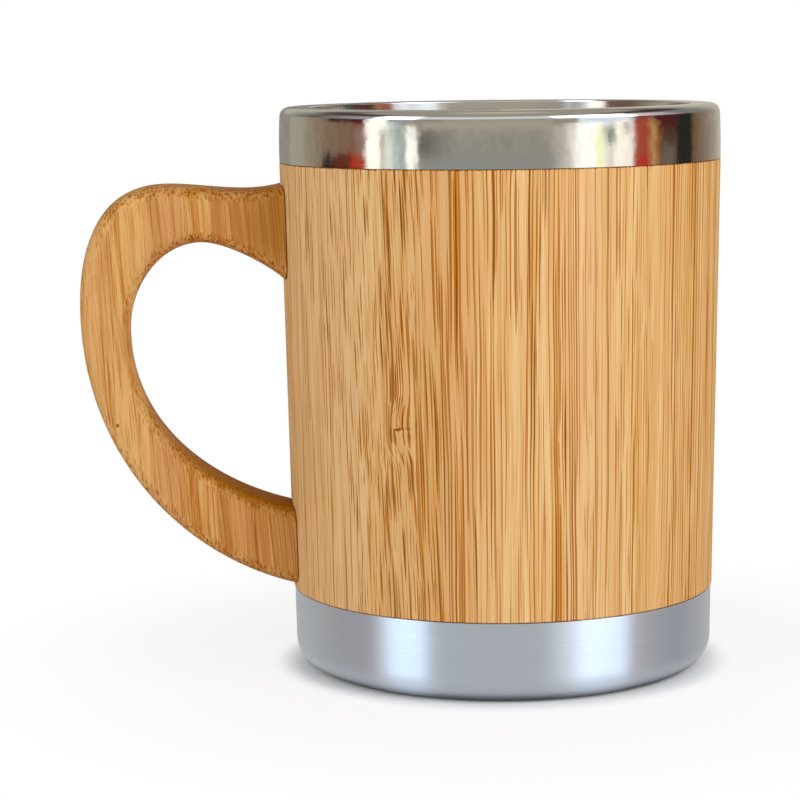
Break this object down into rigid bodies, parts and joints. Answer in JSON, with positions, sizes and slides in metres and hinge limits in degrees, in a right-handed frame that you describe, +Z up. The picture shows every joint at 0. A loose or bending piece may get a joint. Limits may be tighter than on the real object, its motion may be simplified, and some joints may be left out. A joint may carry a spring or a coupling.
{
  "type": "double-walled mug",
  "caption": "Double-walled steel mug in a turned bamboo sleeve, with a polished rim band, a brushed base cap and a curved bamboo handle.",
  "frame": {"origin": "centre of the flat underside of the base cap, on the cup's axis", "axes": "+Z up along the cup's axis, -X towards the handle, Y across the handle"},
  "size_m": [0.1164, 0.08, 0.1022],
  "materials": {
    "satin_steel": "satin stainless steel",
    "polished_steel": "mirror-polished stainless steel",
    "brushed_steel": "stainless steel brushed round its axis",
    "sleeve_bamboo": "turned and sanded laminated bamboo, matt lacquer",
    "handle_bamboo": "sawn and sanded laminated bamboo, matt lacquer",
    "plated_steel": "zinc-plated steel"
  },
  "bodies": {
    "root": {"inner_cup": "satin_steel", "rim_band": "polished_steel", "outer_shell": "satin_steel", "bamboo_sleeve": "sleeve_bamboo", "base_cap": "brushed_steel", "handle": "handle_bamboo", "handle_screw_upper": "plated_steel", "handle_screw_lower": "plated_steel"}
  },
  "joints": []
}
